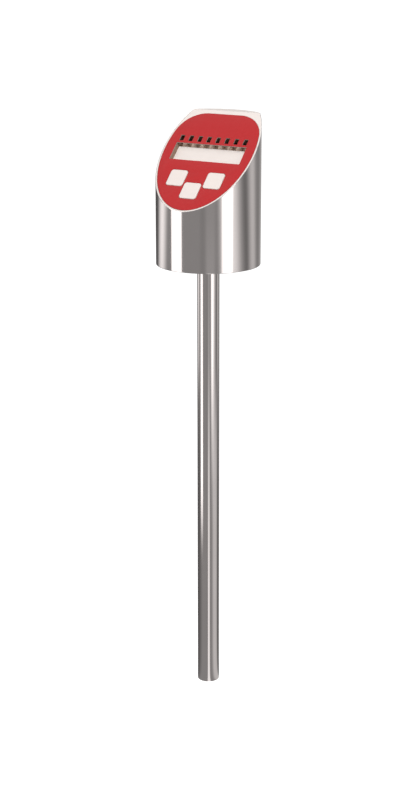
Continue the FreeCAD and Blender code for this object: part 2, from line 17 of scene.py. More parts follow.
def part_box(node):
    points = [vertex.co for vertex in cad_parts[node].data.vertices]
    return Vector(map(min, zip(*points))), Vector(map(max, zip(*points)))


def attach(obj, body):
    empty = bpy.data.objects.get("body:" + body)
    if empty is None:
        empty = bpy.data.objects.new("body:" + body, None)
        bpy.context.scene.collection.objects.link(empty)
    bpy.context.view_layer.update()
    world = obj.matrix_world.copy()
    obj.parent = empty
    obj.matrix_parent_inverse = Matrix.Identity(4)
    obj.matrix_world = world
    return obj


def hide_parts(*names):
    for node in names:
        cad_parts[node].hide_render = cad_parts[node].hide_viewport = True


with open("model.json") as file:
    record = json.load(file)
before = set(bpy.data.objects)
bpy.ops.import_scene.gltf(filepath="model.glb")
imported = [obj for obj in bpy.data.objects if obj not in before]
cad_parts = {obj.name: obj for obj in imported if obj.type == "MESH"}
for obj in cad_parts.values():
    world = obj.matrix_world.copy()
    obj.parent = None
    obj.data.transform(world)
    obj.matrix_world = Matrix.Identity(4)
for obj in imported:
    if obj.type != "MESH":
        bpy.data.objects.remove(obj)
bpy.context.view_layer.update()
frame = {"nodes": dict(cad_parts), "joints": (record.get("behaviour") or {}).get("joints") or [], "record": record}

MM = 0.001
nodes = frame["nodes"]

# %% [markdown]
# ## Where the panel lies
# The red panel is tilted, so its pieces are easier to draw in axes of its own: across, up the slope
# from its lowest point, and out of it. The tilt could be typed in again, but the frame already
# holds it: the keys are pressed straight into the panel, so the direction of their joints is the
# panel's normal.

# %% The panel's axes
into_panel = Vector(frame["joints"][0]["axis"]).normalized()
slope = math.atan2(into_panel.y, -into_panel.z)
head_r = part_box("housing_tube")[1].x
head_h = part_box("housing_tube")[1].z
panel_level = max(-into_panel.dot(v.co) for v in nodes["front_plate"].data.vertices)
lip_h = (panel_level - head_r * math.sin(slope)) / math.cos(slope)
panel_middle = head_r / math.cos(slope)
panel = Matrix.Translation((0, -head_r, lip_h)) @ Matrix.Rotation(slope, 4, "X")


def panel_box(node, proud=False):
    """Lowest and highest corner of a node along the panel's axes, or of what stands out of it."""
    points = np.array([panel.inverted() @ v.co for v in nodes[node].data.vertices])
    if proud:
        points = points[points[:, 2] > 0]
    return points.min(0), points.max(0)


def on_panel(x, v, depth):
    """Point at a place across and up the panel, and at a depth below its face."""
    return panel @ Vector((x, v, -depth))


print(f"panel: {math.degrees(slope):.1f} degrees, {lip_h / MM:.1f} to {head_h / MM:.1f} mm up")

# %% [markdown]
# ## Turning sockets into sums
# A finish is a small calculation at every point of a surface. Its Math nodes could be wired one by
# one, but that hides the sum. So one class wraps a socket and lets Python's operators add those
# nodes, also with the number first, so that `1 - mask` works.

# %% A socket that can be reckoned with
class Signal:
    """An output socket that can be added, subtracted and multiplied."""

    def __init__(self, maker, socket):
        self.maker = maker
        self.socket = socket

    def __add__(self, other):
        return self.maker.math("ADD", self, other)

    def __radd__(self, other):
        return self.maker.math("ADD", other, self)

    def __sub__(self, other):
        return self.maker.math("SUBTRACT", self, other)

    def __rsub__(self, other):
        return self.maker.math("SUBTRACT", other, self)

    def __mul__(self, other):
        return self.maker.math("MULTIPLY", self, other)

    def __rmul__(self, other):
        return self.maker.math("MULTIPLY", other, self)


print("signals: +, - and * add Math nodes")

# %% [markdown]
# Every node comes from one method: it takes the node's type, its settings, and the values or links
# of its sockets. The finishes could call it directly each time, but a few nodes come back so often
# that a short method of their own makes a finish read like a recipe.

# %% A maker of nodes
class NodeMaker:
    """Adds nodes to a tree: type, settings, then sockets by name or number."""

    def __init__(self, owner):
        owner.use_nodes = True
        self.tree = owner.node_tree
        self.tree.nodes.clear()

    def node(self, kind, settings, sockets, output=0):
        made = self.tree.nodes.new(kind)
        for name, value in settings.items():
            setattr(made, name, value)
        for name, value in sockets.items():
            if isinstance(value, Signal):
                self.tree.links.new(value.socket, made.inputs[name])
            else:
                made.inputs[name].default_value = value
        return Signal(self, made.outputs[output]) if made.outputs else None

    def math(self, operation, *values):
        return self.node("ShaderNodeMath", {"operation": operation}, dict(enumerate(values)))

    def vector(self, operation, first, second, output=0):
        return self.node("ShaderNodeVectorMath", {"operation": operation}, {0: first, 1: second},
                         output)

    def place(self):
        """The point on the surface, in metres."""
        return self.node("ShaderNodeTexCoord", {}, {}, "Object")

    def along(self, axis):
        """The point's coordinate along X, Y or Z."""
        return self.node("ShaderNodeSeparateXYZ", {}, {0: self.place()}, "XYZ".index(axis))

    def stretched(self, scale):
        """The point, with each coordinate multiplied."""
        return self.vector("MULTIPLY", self.place(), scale)

    def from_axis(self):
        """The point's distance from the probe's axis."""
        flat = self.stretched((1, 1, 0))
        return self.node("ShaderNodeVectorMath", {"operation": "LENGTH"}, {0: flat}, "Value")

    def noise(self, vector, scale=1.0, detail=3.0):
        return self.node("ShaderNodeTexNoise", {},
                         {"Vector": vector, "Scale": scale, "Detail": detail})

    def step(self, value, low, high):
        """0 below low, 1 above high, and a smooth rise between them."""
        return self.node("ShaderNodeMapRange", {"interpolation_type": "SMOOTHSTEP"},
                         {0: value, 1: low, 2: high})

    def mix(self, share, first, second):
        """A colour between two others."""
        return self.node("ShaderNodeMix", {"data_type": "RGBA"}, {0: share, 6: first, 7: second}, 2)

    def bump(self, height, strength, distance):
        return self.node("ShaderNodeBump", {},
                         {"Height": height, "Strength": strength, "Distance": distance})

    def surface(self, **sockets):
        """Principled shader to the output; words in a socket's name are joined by underscores."""
        named = {name.replace("_", " "): value for name, value in sockets.items()}
        shader = self.node("ShaderNodeBsdfPrincipled", {}, named)
        self.node("ShaderNodeOutputMaterial", {}, {"Surface": shader})


def new_finish(name):
    material = bpy.data.materials.new(name)
    return material, NodeMaker(material)


def rgb(red, green, blue):
    return (red, green, blue, 1.0)


print("node maker: ready")

# %% [markdown]
# ## Polished steel
# The tube and the probe are ground and then polished round their axis. The scratches could be
# modelled, but they are far finer than a pixel, and what is seen is almost wholly what the metal
# mirrors. So it needs little: a low roughness that drifts, and hair-fine lines round the axis that
# show only close up. The lines are a noise squeezed hard along the axis and hardly at all round it.

# %% Steel finishes
FINISHES = {}
STEEL_SHADE = (0.62, 0.605, 0.60)
STEEL_CLOUD, STEEL_DRIFT = 60.0, 0.04    # scale of the slow drift, and its share of the shade
LINE_GLOSS, CLOUD_GLOSS = 0.05, 0.03     # what lines and drift add to the roughness
LINE_BUMP = 0.05


def drift(shade, share):
    """A darker and a lighter colour, on either side of a shade."""
    return [rgb(*(min(way * c, 1.0) for c in shade)) for way in (1 - share, 1 + share)]


def steel(name, shade, polish, line_scale, line_depth):
    """Metal with fine lines across the axis of the largest line scale."""
    material, make = new_finish(name)
    lines = make.noise(make.stretched(line_scale), detail=4.0)
    cloud = make.noise(make.place(), scale=STEEL_CLOUD)
    make.surface(
        Base_Color=make.mix(cloud, *drift(shade, STEEL_DRIFT)), Metallic=1.0,
        Roughness=polish + LINE_GLOSS * lines + CLOUD_GLOSS * cloud,
        Normal=make.bump(lines, LINE_BUMP, line_depth))
    return material


for name, shade, polish, line_scale, depth_mm in (
        ("polished_steel", STEEL_SHADE, 0.05, (40, 40, 9000), 0.01),
        ("screw_steel", (0.50, 0.50, 0.51), 0.25, (3000, 3000, 900), 0.02),
        ("pale_metal", (0.75, 0.75, 0.76), 0.30, (60, 60, 5000), 0.02),
        ("contact_metal", (0.80, 0.60, 0.28), 0.18, (900, 900, 900), 0.01)):
    FINISHES[name] = steel(name, shade, polish, line_scale, depth_mm * MM)
print("metals:", ", ".join(FINISHES))

# %% [markdown]
# The underside of the head is a turned disc, so its lines are rings about the axis. An image of
# rings could be laid on it, but the same noise does it too: distance from the axis drives it there
# in place of height.

# %% Turned steel
RING_SCALE, RING_BUMP, RING_DEPTH = 6000, 0.15, 0.02 * MM
TURNED_POLISH, RING_GLOSS = 0.16, 0.12
TURNED_SHADES = rgb(0.56, 0.55, 0.545), rgb(0.64, 0.625, 0.62)
turned_steel, make = new_finish("turned_steel")
ring_place = make.node("ShaderNodeCombineXYZ", {}, {0: make.from_axis() * RING_SCALE})
rings = make.noise(ring_place, detail=4.0)
make.surface(
    Base_Color=make.mix(rings, *TURNED_SHADES), Metallic=1.0,
    Roughness=TURNED_POLISH + RING_GLOSS * rings, Normal=make.bump(rings, RING_BUMP, RING_DEPTH))
print("turned steel: rings about the probe's axis")

# %% [markdown]
# ## Moulded plastics, rubber and the small parts inside
# The bezel, the keys and the display's face are off-white mouldings. One even colour would be
# quicker, but real mouldings never have it: the resin clouds slightly, and the mould leaves a grain
# of about a tenth of a millimetre. The same recipe, with other colours and grains, serves the
# rubber, the circuit boards and the black pieces inside.

# %% Moulded finishes
CLOUD_MM, CLOUD_DRIFT = 6.0, 0.03
GRAIN_GLOSS, GRAIN_BUMP = 0.08, 0.2


def moulded(name, shade, gloss, grain_mm, grain_depth, sheen):
    """Plastic or rubber with a fine mould grain and slight clouding."""
    material, make = new_finish(name)
    grain = make.noise(make.place(), scale=1 / (grain_mm * MM), detail=2.0)
    cloud = make.noise(make.place(), scale=1 / (CLOUD_MM * MM))
    make.surface(
        Base_Color=make.mix(cloud, *drift(shade, CLOUD_DRIFT)),
        Roughness=gloss + GRAIN_GLOSS * grain,
        Specular_IOR_Level=sheen, Normal=make.bump(grain, GRAIN_BUMP, grain_depth))
    return material


for name, shade, gloss, grain_mm, depth_mm, sheen in (
        ("white_plastic", (0.93, 0.845, 0.80), 0.42, 0.12, 0.01, 0.3),
        ("key_plastic", (0.93, 0.835, 0.79), 0.36, 0.15, 0.01, 0.3),
        ("display_face", (0.975, 0.89, 0.845), 0.20, 0.30, 0.003, 0.3),
        ("indicator_lens", (0.99, 0.74, 0.60), 0.15, 0.40, 0.003, 1.0),
        ("black_rubber", (0.12, 0.065, 0.04), 0.65, 0.20, 0.03, 0.3),
        # brown_foam: partly the foam's own brown, partly painted shade for the window's walls and the gaps between
        # the indicators
        ("brown_foam", (0.38, 0.26, 0.19), 0.75, 0.25, 0.04, 0.2),
        ("circuit_board", (0.20, 0.13, 0.095), 0.35, 0.60, 0.02, 0.5),
        ("black_plastic", (0.03, 0.03, 0.032), 0.40, 0.15, 0.01, 0.5),
        ("ribbon_plastic", (0.42, 0.42, 0.43), 0.45, 0.50, 0.03, 0.4),
        ("insulator_ceramic", (0.86, 0.84, 0.78), 0.55, 0.10, 0.01, 0.4)):
    FINISHES[name] = moulded(name, shade, gloss, grain_mm, depth_mm * MM, sheen)
print("finishes so far:", len(FINISHES))

# %% [markdown]
# ## The red plate's coating
# The plate is a metal sheet, coated red and then cut, so its cut edges are bare. Two materials
# could share the mesh, but then every face has to be sorted. One material can hold both: the depth
# below the panel's face says whether a point lies on the coat or on the cut. The cut gets a dark,
# warm grey, darker than bare metal: partly the bare metal and partly painted shade, for the edges in
# the openings and in the gap round the plate.

# %% Red coating with bare cut edges, darkened with painted shade
COAT_T = 0.06 * MM
COAT_REDS = rgb(0.515, 0.023, 0.026), rgb(0.535, 0.026, 0.029)
# bare metal at the cut edges, made darker and warmer than bare metal as painted shade
BARE_METAL_AND_SHADE = rgb(0.42, 0.37, 0.335)
COAT_CLOUD, COAT_SPECKLE = 120.0, 9000.0    # scales of the clouding and of the satin grain
COAT_GLOSS, COAT_SHEEN = 0.42, 0.25
SPECKLE_GLOSS, SPECKLE_BUMP, SPECKLE_DEPTH = 0.08, 0.15, 0.01 * MM
coated, make = new_finish("red_coating")
out_of_panel = make.vector("DOT_PRODUCT", make.place(), tuple(-into_panel), "Value")
bare_and_shaded = make.step(panel_level - out_of_panel, COAT_T, 2 * COAT_T)
speckle = make.noise(make.place(), scale=COAT_SPECKLE, detail=2.0)
red = make.mix(make.noise(make.place(), scale=COAT_CLOUD), *COAT_REDS)
make.surface(
    Base_Color=make.mix(bare_and_shaded, red, BARE_METAL_AND_SHADE), Roughness=COAT_GLOSS + SPECKLE_GLOSS * speckle,
    Specular_IOR_Level=COAT_SHEEN, Normal=make.bump(speckle, SPECKLE_BUMP, SPECKLE_DEPTH))
FINISHES["red_coating"] = coated
print("red coating:", COAT_T / MM, "mm thick")

# %% [markdown]
# ## Dressing the frame
# Every CAD node first gets the finish that the record names for it. All of them could be rebuilt
# here, but the nodes inside the head hardly show and stay as they are. Those that show are replaced
# below by meshes with finer edges.

# %% Finishes on the CAD nodes
for subpart in frame["record"]["subparts"]:
    data = nodes[subpart["node"]].data
    data.materials.clear()
    data.materials.append(FINISHES[subpart["material_slot"]])
nodes["base_plate"].data.materials[0] = turned_steel

# %% [markdown]
# ## Rings joined into a skin
# Nearly every piece here is a row of rings: round the probe, up the tube, over the edge of a key. A
# modifier can turn a profile into a round piece, but the tube's end is slanted and the keys are
# square, so one helper joins any rings by strips of faces.

# %% A skin through rings
def skin(name, rings, looped=False, capped=True):
    """Mesh through rings of equally many points, joined last to first, or closed at both ends."""
    count = len(rings[0])
    faces = []
    for i in range(len(rings) if looped else len(rings) - 1):
        low, high = i * count, (i + 1) % len(rings) * count
        for j in range(count):
            k = (j + 1) % count
            faces.append((low + j, low + k, high + k, high + j))
    if capped and not looped:
        last = (len(rings) - 1) * count
        faces += [tuple(reversed(range(count))), tuple(range(last, last + count))]
    mesh = bpy.data.meshes.new(name)
    mesh.from_pydata([tuple(point) for ring in rings for point in ring], [], faces)
    return mesh


print("skins: loops of rings, or rows with their ends closed")

# %% [markdown]
# A mesh shows only once an object in the scene holds it. Each piece then rides on its body and
# takes the place of its CAD node. That could be written out for every piece, but one helper does it
# the same way each time. Edges sharper than a set angle stay crisp, and all others are shaded
# round.

# %% A piece in the scene
CRISP = math.radians(35)
HOUSING = "housing"


def add_object(name, data):
    """A new object in the scene that holds a mesh, lamp or camera."""
    made = bpy.data.objects.new(name, data)
    bpy.context.scene.collection.objects.link(made)
    return made


def face_outwards(mesh):
    shape = bmesh.new()
    shape.from_mesh(mesh)
    bmesh.ops.recalc_face_normals(shape, faces=shape.faces)
    shape.to_mesh(mesh)
    shape.free()


def show(mesh, slot, node=None, body=HOUSING):
    """Puts a mesh in the scene, in place of a CAD node if one is named."""
    face_outwards(mesh)
    mesh.shade_smooth()
    mesh.set_sharp_from_angle(angle=CRISP)
    mesh.materials.append(FINISHES[slot])
    piece = add_object(mesh.name, mesh)
    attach(piece, body)
    if node:
        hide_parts(node)
    print(f"{mesh.name}: {len(mesh.polygons)} faces, in place of {node or 'no node'}")
    return piece


print(f"meshes: edges over {math.degrees(CRISP):.0f} degrees stay crisp")

# %% [markdown]
# ## The head's tube
# A piece of polished tube, sawn at a slant in front and square behind, its edges broken by hand. A
# Boolean could saw a plain tube, but mirror metal shows every flaw of a mesh. So the wall has many
# narrow columns, and a narrow strip next to each rounded edge keeps its shading truly straight. The
# height of the sawn end is a formula of the place seen from above, which gives the slant, the flat
# top and the line between them at once.

# %% The sawn tube
COLUMNS = 360
TURNS = [2 * math.pi * i / COLUMNS for i in range(COLUMNS)]
TUBE_WALL = 1.5 * MM
TUBE_LIP = 0.1 * MM        # thin edge left standing round the bezel
TUBE_FOOT = 0.25 * MM      # rounding of the lower edge
SAWN_EDGE = 0.05 * MM      # edge broken after sawing
STRAIGHT = 0.1 * MM        # strip that keeps the wall's shading straight
REBATE = 1.6 * MM          # depth of the seat for the bezel's flange
ARC = [math.radians(a) for a in range(0, 91, 15)]


def end_height(y, inset):
    """Height of the sawn end, or of a level that lies further in all over."""
    sloping = lip_h + (y + head_r) * math.tan(slope) - inset / math.cos(slope)
    return min(head_h - inset, sloping)


def ring(radius, height=None, inset=0.0):
    """Points round the head's axis, at a height or at an inset from the sawn end."""
    plan = [(radius * math.cos(t), radius * math.sin(t)) for t in TURNS]
    return [(x, y, end_height(y, inset) if height is None else height) for x, y in plan]


bore_r = head_r - TUBE_WALL
lip_r = head_r - TUBE_LIP
tube_rings = [ring(bore_r, 0)]
tube_rings += [ring(head_r - TUBE_FOOT * (1 - math.sin(a)), TUBE_FOOT * (1 - math.cos(a)))
               for a in ARC]
tube_rings += [ring(head_r, TUBE_FOOT + STRAIGHT), ring(head_r, inset=SAWN_EDGE + STRAIGHT),
               ring(head_r, inset=SAWN_EDGE), ring(head_r - SAWN_EDGE), ring(lip_r),
               ring(lip_r, inset=REBATE), ring(bore_r, inset=REBATE)]
head_tube = show(skin("head_tube", tube_rings, looped=True), "polished_steel", "housing_tube")

# %% [markdown]
# ## Cutting and joining
# A drilled hole, or a tab on a moulding, breaks into a finished surface. The faces round it could
# be laid by hand, but a Boolean cuts as the drill does. Here it is carried out at once, for good,
# and the hair-thin faces that it can leave along its cut are closed up.

# %% A cut for good
SLIVER = 0.002 * MM        # edges shorter than this are closed up


def close_slivers(mesh):
    shape = bmesh.new()
    shape.from_mesh(mesh)
    bmesh.ops.remove_doubles(shape, verts=shape.verts, dist=SLIVER)
    bmesh.ops.dissolve_degenerate(shape, edges=shape.edges, dist=SLIVER)
    shape.to_mesh(mesh)
    shape.free()


def combine(piece, tool, operation):
    """Cuts a tool's form out of a piece, or joins it on, for good."""
    face_outwards(tool)
    helper = add_object(tool.name, tool)
    modifier = piece.modifiers.new(tool.name, "BOOLEAN")
    modifier.operation = operation
    modifier.solver = "EXACT"
    modifier.object = helper
    cut_piece = piece.evaluated_get(bpy.context.evaluated_depsgraph_get())
    combined = bpy.data.meshes.new_from_object(cut_piece)
    piece.modifiers.clear()
    close_slivers(combined)
    piece.data = combined
    combined.set_sharp_from_angle(angle=CRISP)
    bpy.data.objects.remove(helper)
    print(f"{piece.name}: {len(combined.polygons)} faces with its {tool.name}")


print("cuts: slivers under", SLIVER / MM, "mm are closed")

# %% [markdown]
# The connector's collar is welded into a round hole in the back of the tube. The tube's columns
# could be bent round that hole, but a round cutter through the finished wall is simpler, and leaves
# the mirror round it as it was.

# %% The hole for the connector
PORT_FIT = 0.05 * MM
REAR_STEPS = 120
REAR_TURNS = [2 * math.pi * i / REAR_STEPS for i in range(REAR_STEPS)]
shell_low, shell_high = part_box("connector_shell")
port_z = (shell_low.z + shell_high.z) / 2
collar_r = (shell_high.z - shell_low.z) / 2


def rear_ring(radius, y):
    """Points round the connector's axis."""
    return [(radius * math.cos(t), y, port_z + radius * math.sin(t)) for t in REAR_TURNS]


hole_r = collar_r + PORT_FIT
hole = skin("hole", [rear_ring(hole_r, shell_low.y), rear_ring(hole_r, shell_high.y)])
combine(head_tube, hole, "DIFFERENCE")

# %% [markdown]
# ## The probe
# A straight tube with a flat closed tip whose edge is rounded, and a turned-down end that sits in
# the base. A plain cylinder with a bevel comes close, but has no bore and no end in the base. The
# real one is turned, so rings round its axis are all it needs, outside and in, with the same narrow
# strip next to the rounding.

# %% The probe
TIP_EDGE = 0.4 * MM
TIP_T = 2.0 * MM
TIP_MIDDLE = 0.1 * MM      # innermost ring of the tip's flat
PROBE_WALL = 1.25 * MM
SPIGOT_STEP = 0.5 * MM     # how far the end in the base is turned down
probe_low, probe_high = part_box("probe_sheath")
probe_r = probe_high.x
probe_bore = probe_r - PROBE_WALL
spigot_r = probe_r - SPIGOT_STEP
tip, probe_top = probe_low.z, probe_high.z
probe_rings = [ring(TIP_MIDDLE, tip), ring(probe_r - TIP_EDGE - STRAIGHT, tip)]
probe_rings += [ring(probe_r - TIP_EDGE * (1 - math.sin(a)), tip + TIP_EDGE * (1 - math.cos(a)))
                for a in ARC]
probe_rings += [ring(radius, z) for radius, z in (
    (probe_r, tip + TIP_EDGE + STRAIGHT), (probe_r, 0.0), (spigot_r, 0.0), (spigot_r, probe_top),
    (probe_bore, probe_top), (probe_bore, tip + TIP_T))]
show(skin("probe", probe_rings), "polished_steel", "probe_sheath")

# %% [markdown]
# ## Outlines in the panel
# The plate's outline is an ellipse, because that is the slanted cut of a round tube, with a
# straight top edge and two round corners. It could be drawn once as a curve, but each outline here
# is a function that can be grown or shrunk, so that a broken edge, a gap and the recess all come
# from the same line. The place where a corner leaves the ellipse is found by halving.

# %% The plate's outline
PLATE_GAP = 0.15 * MM      # round the plate, in the bezel's recess
PLATE_CORNER = 13.35 * MM
SIDE_STEPS, BEND_STEPS, TOP_STEPS = 110, 30, 20
HALVINGS = 50
plate_low, plate_high = panel_box("front_plate")
plate_t = -plate_low[2]


def arc(centre, radius, turns):
    return [centre + radius * np.array((math.cos(t), math.sin(t))) for t in turns]


def plate_outline(grow):
    """The plate's edge, from the lowest point anticlockwise."""
    across = plate_high[0] + grow
    along = panel_middle - plate_low[1] + grow
    top = plate_high[1] + grow
    corner = PLATE_CORNER + grow

    def on_ellipse(t):
        return np.array((across * math.cos(t), panel_middle + along * math.sin(t)))

    def corner_centre(t):
        normal = np.array((math.cos(t) / across, math.sin(t) / along))
        return on_ellipse(t) - normal / np.linalg.norm(normal) * corner

    low, high = 0.0, math.pi / 2
    for _ in range(HALVINGS):
        t = (low + high) / 2
        low, high = (t, high) if corner_centre(t)[1] < top - corner else (low, t)
    centre = corner_centre(low)
    start = math.atan2(*(on_ellipse(low) - centre)[::-1])
    side = [on_ellipse(t) for t in np.linspace(-math.pi / 2, low, SIDE_STEPS)]
    side += arc(centre, corner, np.linspace(start, math.pi / 2, BEND_STEPS)[1:])
    side += [np.array((x, top)) for x in np.linspace(centre[0], 0, TOP_STEPS)[1:]]
    return [tuple(p) for p in side] + [(-p[0], p[1]) for p in reversed(side[1:-1])]


print(f"plate outline: {len(plate_outline(0))} points, {2 * plate_high[0] / MM:.2f} mm wide")

# %% [markdown]
# ## The bezel's rim and flat top
# The white moulding fills the tube's mouth: a narrow rim round the plate, wider at the top, where
# it turns over into a flat lid. It could be cut from a block, but then the turn into the lid is a
# sharp line. Seen from above it is a ring between the recess and the tube, so it is built as rings
# that step from one to the other, each lifted to the height of the slope or the lid. A soft minimum
# of the two heights rounds the line between them, as the mould does.

# %% The rim's form
LID_ROUND = 0.3 * MM       # length over which the slope turns into the lid
flange_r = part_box("front_bezel")[1].x
recess_plan = [panel @ Vector((x, v, 0)) for x, v in plate_outline(PLATE_GAP)]
recess_turn = [math.atan2(p.y, p.x) for p in recess_plan]
recess_reach = [math.hypot(p.x, p.y) for p in recess_plan]
recess_r = np.interp(TURNS, recess_turn, recess_reach, period=2 * math.pi)


def rim_height(y):
    """The lower of slope and lid, rounded where they meet."""
    sloping = lip_h + (y + head_r) * math.tan(slope)
    near = max(LID_ROUND - abs(sloping - head_h), 0) / LID_ROUND
    return min(sloping, head_h) - near * near * LID_ROUND / 4


def rim_ring(share, outwards=0.0, drop=0.0):
    """Ring at a share of the way from the recess to the tube, moved outwards and down."""
    reach = [r + (flange_r - r) * share + outwards for r in recess_r]
    plan = [(r * math.cos(t), r * math.sin(t)) for r, t in zip(reach, TURNS)]
    return [Vector((x, y, rim_height(y) - drop)) for x, y in plan]


rim_mm = (flange_r - recess_r) / MM
print(f"rim: {min(rim_mm):.2f} to {max(rim_mm):.2f} mm wide")

# %% [markdown]
# Further rings go down the recess and the skirt, which plugs into the tube and has a groove for its
# seal. All of it is one loop of rings, so the moulding is closed with no join to hide.

# %% The rim and its skirt
RIM_STEPS = 30
RIM_EDGE = 0.1 * MM
BEZEL_WALL = 1.2 * MM      # panel's face to the back of the wall
SKIRT_GAP = 0.1 * MM       # skirt to the tube's bore
SKIRT_WALL = 1.6 * MM
SKIRT_DEPTH = 5.0 * MM
SEAL_FROM, SEAL_TO = 2.25 * MM, 3.55 * MM
SEAL_T = 0.9 * MM          # depth of the seal's groove
outside = [ring(flange_r, inset=REBATE)]
outside += [rim_ring(1, -RIM_EDGE * (1 - math.cos(a)), RIM_EDGE * (1 - math.sin(a))) for a in ARC]
across_rim = [rim_ring(1 - i / RIM_STEPS, RIM_EDGE * (2 * i / RIM_STEPS - 1))
              for i in range(1, RIM_STEPS)]
inside = [rim_ring(0, RIM_EDGE * (1 - math.sin(a)), RIM_EDGE * (1 - math.cos(a))) for a in ARC]
recess_foot = [[p + into_panel * BEZEL_WALL for p in rim_ring(0)]]
skirt_r = bore_r - SKIRT_GAP
inner_r = skirt_r - SKIRT_WALL
groove_r = skirt_r - SEAL_T
skirt = [ring(radius, inset=depth) for radius, depth in (
    (inner_r, BEZEL_WALL), (inner_r, SKIRT_DEPTH), (skirt_r, SKIRT_DEPTH), (skirt_r, SEAL_TO),
    (groove_r, SEAL_TO), (groove_r, SEAL_FROM), (skirt_r, SEAL_FROM), (skirt_r, REBATE))]
rim_rings = outside + across_rim + inside + recess_foot + skirt
show(skin("bezel_rim", rim_rings, looped=True), "white_plastic", "front_bezel")

# %% [markdown]
# ## Sheets with openings
# The plate, and the bezel's wall behind it, are flat sheets with a window, slots and key holes cut
# through. A Boolean for each opening would do it too, but a triangle fill between the loops leaves
# all the openings free at once and its faces stay flat. Strips down the sides, with a small broken
# edge at the front, make each sheet a closed solid.

# %% Sheet helper
EDGE_BEND = 0.3            # share of the broken edge where its middle ring lies
WELD = 0.0001 * MM         # points nearer than this are one point


def sheet_with_openings(name, outline, openings, front, back, edge):
    """Closed sheet between two depths; outline and openings are functions of growth."""
    shape = bmesh.new()
    loops = [(outline, -1)] + [(opening, 1) for opening in openings]

    def draw(loop, grow, depth):
        return [shape.verts.new(on_panel(x, v, depth)) for x, v in loop(grow)]

    for depth, broken in ((front, edge), (back, 0)):
        boundary = []
        for loop, way in loops:
            points = draw(loop, way * broken, depth)
            boundary += [shape.edges.new(ends) for ends in zip(points, points[1:] + points[:1])]
        bmesh.ops.triangle_fill(shape, use_beauty=True, edges=boundary)
    for loop, way in loops:
        bend = EDGE_BEND * edge
        levels = ((way * edge, front), (way * bend, front + bend), (0, front + edge), (0, back))
        strips = [draw(loop, grow, depth) for grow, depth in levels]
        for upper, lower in zip(strips, strips[1:]):
            for i in range(len(upper)):
                j = (i + 1) % len(upper)
                shape.faces.new((upper[i], upper[j], lower[j], lower[i]))
    bmesh.ops.remove_doubles(shape, verts=shape.verts, dist=WELD)
    mesh = bpy.data.meshes.new(name)
    shape.to_mesh(mesh)
    shape.free()
    return mesh


print("sheets: points within", WELD / MM, "mm are joined")

# %% [markdown]
# The openings and the keys are rectangles with round corners. A bevel could round a plain
# rectangle, but the corners have to grow with the outline, as the plate's do, so their points are
# worked out.

# %% Rounded rectangles
CORNER_STEPS = 8           # facets in each round corner
LOOP_POINTS = 4 * (CORNER_STEPS + 1)
QUARTERS = ((1, 1), (-1, 1), (-1, -1), (1, -1))


def rounded_box(width, height, x, v, corner, grow=0.0):
    """A rectangle with round corners about a point, anticlockwise."""
    radius = corner + grow
    reach_x, reach_v = width / 2 - corner, height / 2 - corner
    loop = []
    for quarter, (side_x, side_v) in enumerate(QUARTERS):
        for i in range(CORNER_STEPS + 1):
            t = (quarter + i / CORNER_STEPS) * math.pi / 2
            loop.append((x + side_x * reach_x + radius * math.cos(t),
                         v + side_v * reach_v + radius * math.sin(t)))
    return loop


def opening(width, height, x, v, corner):
    return lambda grow: rounded_box(width, height, x, v, corner, grow)


print("rounded rectangles:", LOOP_POINTS, "points each")

# %% [markdown]
# ## Window, slots and key holes
# The openings are placed as on the real panel: a wide window just below the middle, a row of slots
# above it, and three key holes below. The keys' places could be typed in, but the frame has them,
# so the holes always fit. The rest are real sizes.

# %% The openings
WINDOW_SIDE, WINDOW_H = 5.45 * MM, 9.2 * MM
WINDOW_DROP = 1.0 * MM     # below the middle of the ellipse
SLOTS, SLOT_W, SLOT_H = 8, 2.1 * MM, 3.1 * MM
SLOT_INSET, SLOT_GAP = 0.65 * MM, 1.05 * MM
CUT_CORNER = 0.12 * MM     # what a small cutter leaves in a square corner
KEY_GAP, KEY_CORNER = 0.2 * MM, 1.2 * MM
window_w = 2 * (head_r - WINDOW_SIDE)
window_v = panel_middle - WINDOW_DROP
window_top = window_v + WINDOW_H / 2
slot_v = window_top + SLOT_GAP + SLOT_H / 2
slot_reach = window_w / 2 - SLOT_INSET - SLOT_W / 2
slot_xs = np.linspace(-slot_reach, slot_reach, SLOTS)
keys = {side: panel_box(f"key_{side}", proud=True) for side in ("left", "middle", "right")}
window = opening(window_w, WINDOW_H, 0, window_v, CUT_CORNER)
slots = [opening(SLOT_W, SLOT_H, x, slot_v, CUT_CORNER) for x in slot_xs]
key_holes = []
for low, high in keys.values():
    width, height = (high - low)[:2] + 2 * KEY_GAP
    x, v = ((high + low) / 2)[:2]
    key_holes.append(opening(width, height, x, v, KEY_CORNER + KEY_GAP))
print("openings: window,", len(slots), "slots,", len(key_holes), "key holes")

# %% [markdown]
# The red plate and the white wall behind it could be one sheet, but metal and moulding each need
# their own finish. They share the key holes. The wall has one larger opening in place of window and
# slots, with room for the gaskets that line it. The brown of the foam that lines it is partly
# painted shade on the opening's walls.

# %% The red plate and the wall behind it
PLATE_EDGE = 0.04 * MM
APERTURE_TOP, APERTURE_CORNER = 1.3 * MM, 0.4 * MM
# the brown foam in this room is partly painted shade on the opening's walls
LINING = 0.65 * MM         # room for the gasket in the bezel's opening
aperture_low = window_v - WINDOW_H / 2
aperture_high = slot_v + SLOT_H / 2 + APERTURE_TOP
aperture = opening(window_w + 2 * LINING, aperture_high - aperture_low + 2 * LINING, 0,
                   (aperture_high + aperture_low) / 2, APERTURE_CORNER + LINING)


def recess_outline(grow):
    return plate_outline(PLATE_GAP + grow)


